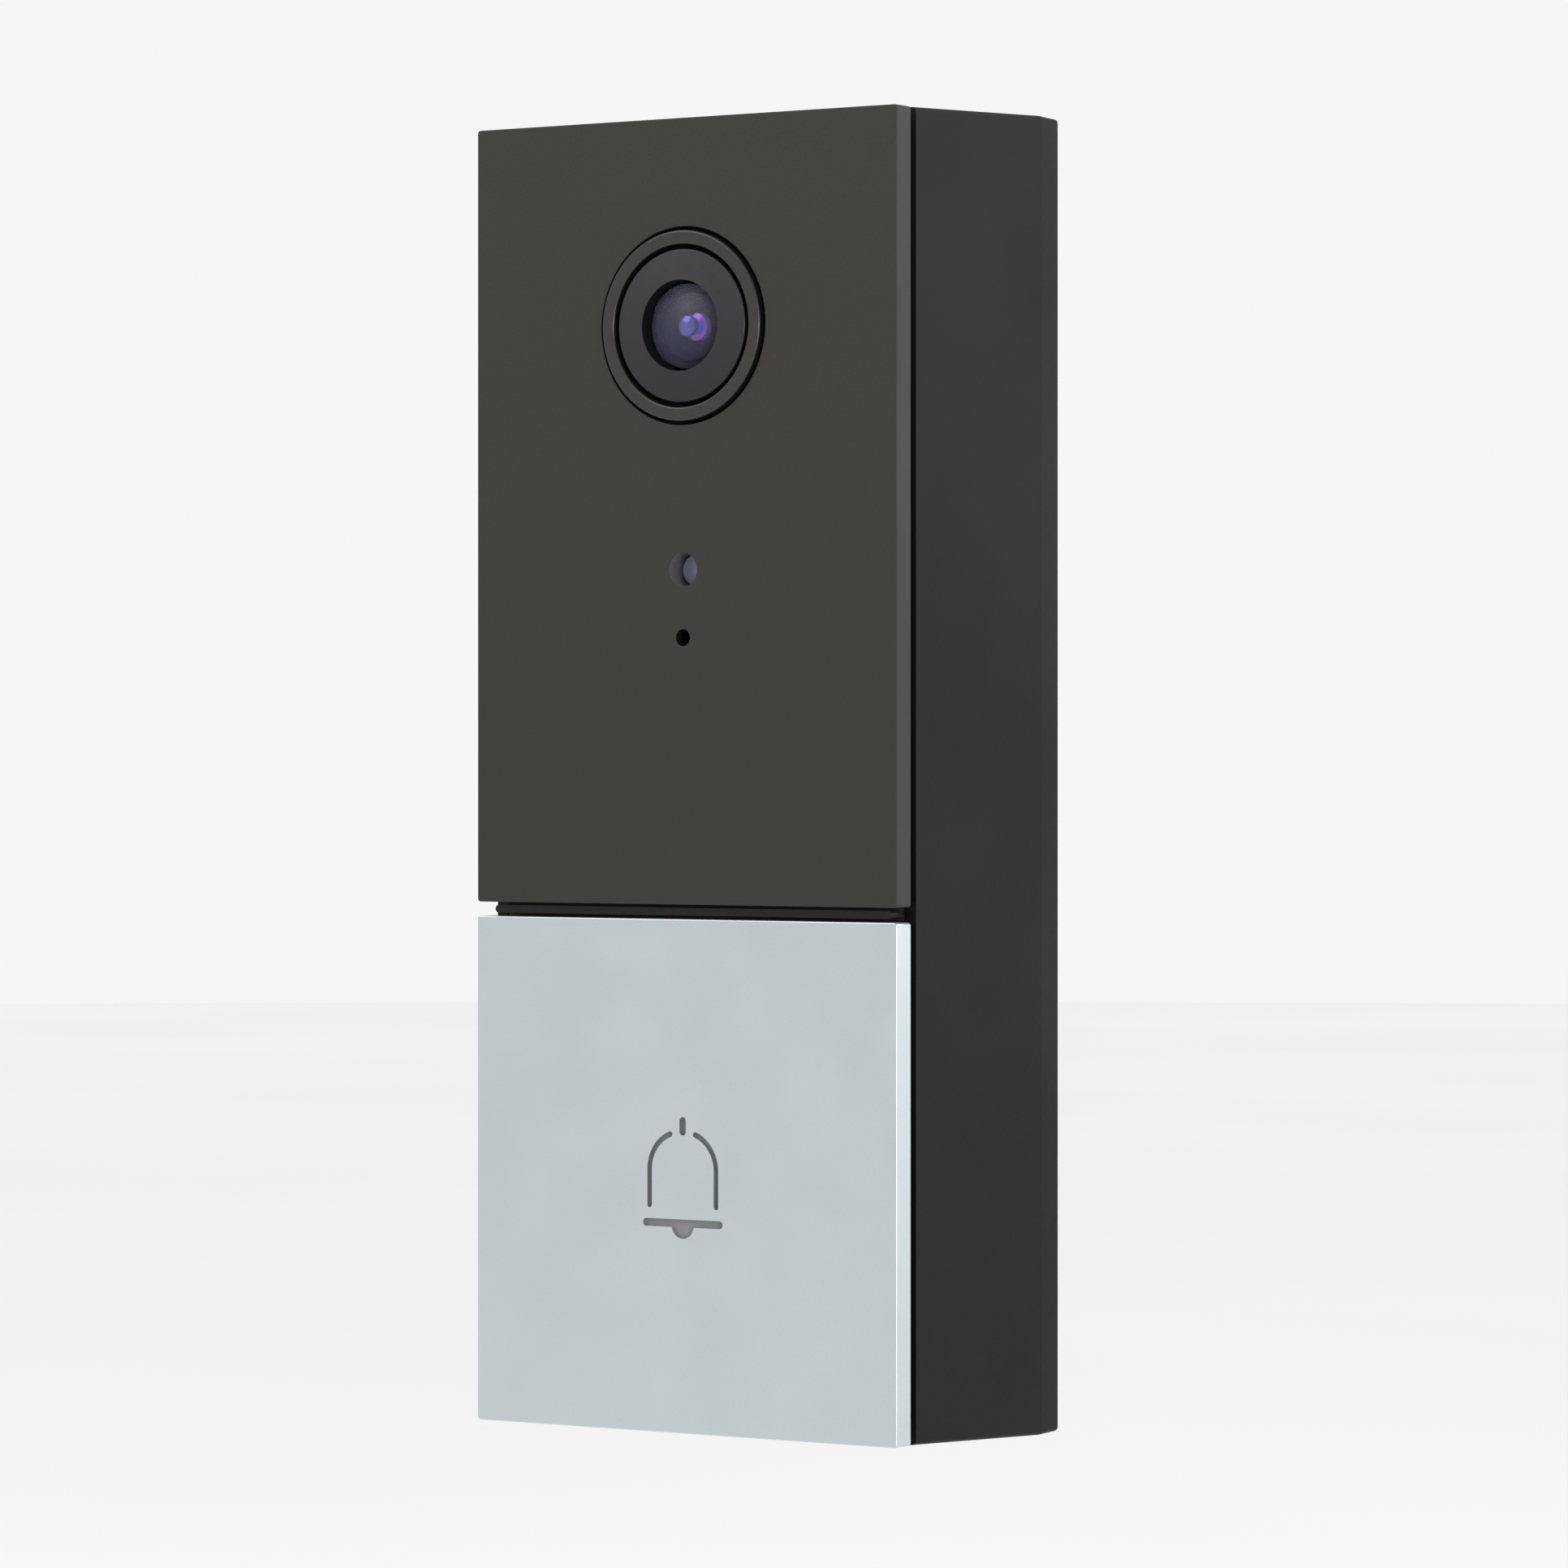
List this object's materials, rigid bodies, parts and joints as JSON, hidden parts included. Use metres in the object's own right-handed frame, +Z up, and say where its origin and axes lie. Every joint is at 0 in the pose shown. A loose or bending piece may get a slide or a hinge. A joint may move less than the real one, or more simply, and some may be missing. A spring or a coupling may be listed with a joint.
{
  "type": "video doorbell",
  "caption": "Slim upright wired video doorbell with a ringed camera in a dark cover above a silver push plate with an engraved bell.",
  "frame": {"origin": "centre of the wall plane, at the back of the wall bracket", "axes": "+Z up along the height, +Y into the wall, +X to the right as the visitor sees it"},
  "size_m": [0.0496, 0.0279, 0.1256],
  "materials": {
    "cover_paint": "satin dark grey, fine spray texture",
    "ring_paint": "satin dark grey",
    "push_silver": "fine satin silver",
    "housing_plastic": "fine moulded texture",
    "frame_plastic": "satin black",
    "window_dark": "dark infrared-clear plastic",
    "lens_glass": "violet lens coating",
    "clear_grey": "smoked clear plastic",
    "clear_glass": "clear glass",
    "lens_black": "matt black",
    "rubber_black": "soft matt",
    "rubber_grey": "soft matt",
    "foam_tape": "matt",
    "board_green": "solder mask",
    "chip_black": "moulded epoxy",
    "part_cream": "satin",
    "ferrite": "matt",
    "copper": "bright",
    "brass": "bright",
    "steel": "zinc plated",
    "tin": "tinned sheet",
    "flex_amber": "polyimide",
    "wire_red": "insulation",
    "wire_white": "insulation",
    "key_white": "satin",
    "plunger_red": "satin",
    "bracket_grey": "powder coat"
  },
  "bodies": {
    "case": {"rear_housing": "housing_plastic", "wall_bracket": "bracket_grey", "security_screw": "steel", "front_seal": "rubber_black", "front_frame": "frame_plastic", "frame_screws": "steel", "cover_tape": "foam_tape", "upper_cover": "cover_paint", "camera_ring": "ring_paint", "camera_window": "window_dark", "led_board": "board_green", "infrared_leds": "part_cream", "lens_barrel": "lens_black", "front_lens": "lens_glass", "inner_lens": "lens_glass", "lens_holder": "lens_black", "filter_coil": "copper", "image_sensor": "chip_black", "camera_board": "board_green", "camera_screws": "steel", "camera_flex": "flex_amber", "light_pipe": "clear_grey", "light_sensor": "part_cream", "mic_membrane": "foam_tape", "mic_boot": "rubber_black", "microphone": "brass", "main_board": "board_green", "processor": "chip_black", "memory_chips": "chip_black", "radio_shield": "tin", "antenna": "flex_amber", "antenna_cable": "wire_white", "board_screws": "steel", "board_header": "chip_black", "flex_connectors": "part_cream", "power_board": "board_green", "bridge_rectifier": "chip_black", "power_inductor": "ferrite", "power_capacitors": "tin", "terminal_block": "chip_black", "terminal_contacts": "brass", "terminal_screws": "steel", "speaker_frame": "chip_black", "speaker_cone": "rubber_grey", "speaker_magnet": "tin", "speaker_gasket": "foam_tape", "speaker_mesh": "steel", "speaker_leads": "wire_red", "switch_case": "chip_black", "switch_boot": "rubber_grey", "return_pads": "rubber_grey", "reset_switch": "chip_black"},
    "push_button": {"button_plate": "push_silver", "button_carrier": "frame_plastic"},
    "plunger": {"switch_plunger": "plunger_red"},
    "reset_key": {"reset_key": "key_white"},
    "filter": {"filter_slider": "lens_black", "day_filter": "clear_glass", "night_glass": "clear_glass"}
  },
  "joints": [
    {"name": "button_press", "type": "slide", "parent": "case", "child": "push_button", "axis": [0, 1, 0], "range_m": [0, 0.0005], "stiffness_N_per_m": 3000, "deforming": ["switch_boot", "return_pads"]},
    {"name": "plunger_press", "type": "slide", "parent": "case", "child": "plunger", "axis": [0, 1, 0], "range_m": [0, 0.0005]},
    {"name": "reset_press", "type": "slide", "parent": "case", "child": "reset_key", "axis": [0, -1, 0], "range_m": [0, 0.0003], "stiffness_N_per_m": 1500},
    {"name": "filter_shift", "type": "slide", "parent": "case", "child": "filter", "axis": [1, 0, 0], "range_m": [0, 0.0062]}
  ],
  "couplings": [
    {"joint": "plunger_press", "follows": "button_press", "ratio": 1}
  ]
}
